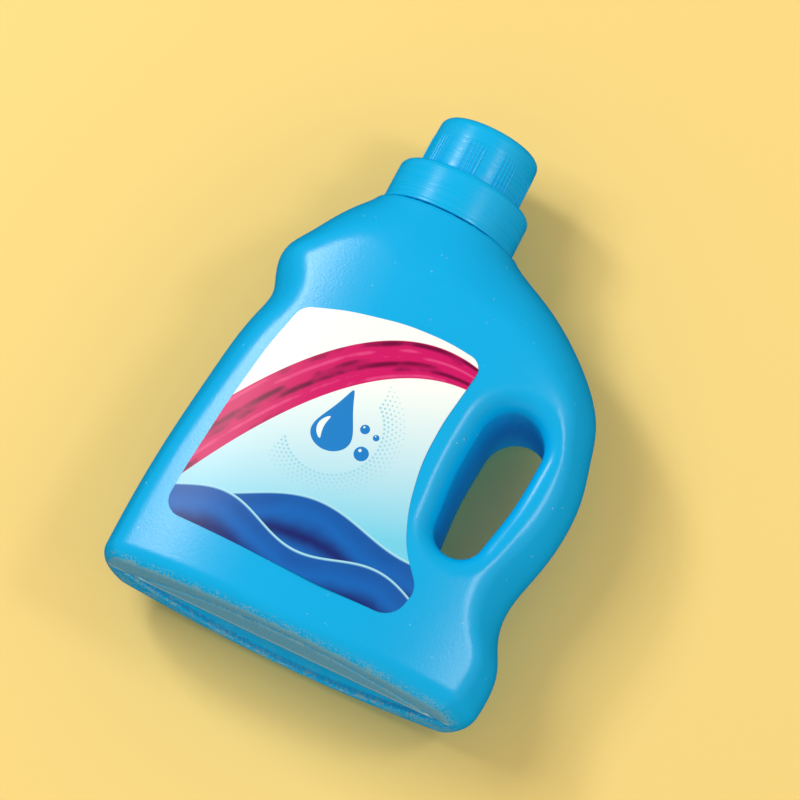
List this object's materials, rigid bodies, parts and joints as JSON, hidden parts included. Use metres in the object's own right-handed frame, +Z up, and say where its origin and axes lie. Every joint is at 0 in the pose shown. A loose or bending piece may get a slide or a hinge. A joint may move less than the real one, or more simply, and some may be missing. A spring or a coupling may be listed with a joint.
{
  "type": "laundry detergent bottle",
  "caption": "Flat blow-moulded detergent bottle with a through handle, pour collar, ribbed screw dosing cap and front and back labels",
  "frame": {"origin": "middle of the foot, on the surface the bottle stands on", "axes": "+Z up along the neck, +X towards the handle, -Y out of the front label"},
  "size_m": [0.1251, 0.0524, 0.1715],
  "materials": {
    "bottle_plastic": "blow-moulded polyethylene, satin with a fine grain, scuffed at the foot",
    "cap_plastic": "injection-moulded polypropylene, semi-gloss",
    "seal_foam": "white expanded polyethylene foam",
    "label_film": "printed self-adhesive film, satin gloss"
  },
  "bodies": {
    "bottle": {"bottle_body": "bottle_plastic", "pour_collar": "cap_plastic", "front_label": "label_film", "back_label": "label_film"},
    "seal": {"seal_ring": "seal_foam"},
    "cap": {"screw_cap": "cap_plastic"}
  },
  "joints": [
    {"name": "cap_lift", "type": "slide", "parent": "bottle", "child": "seal", "axis": [0, 0, 1], "range_m": [0, 0.03]},
    {"name": "cap_turn", "type": "hinge", "parent": "seal", "child": "cap", "pos_m": [-0.0152, 0, 0.16], "axis": [0, 0, 1], "range_deg": [0, 900.5]}
  ],
  "couplings": [
    {"joint": "cap_turn", "follows": "cap_lift", "rad_per_m": 523.6}
  ]
}
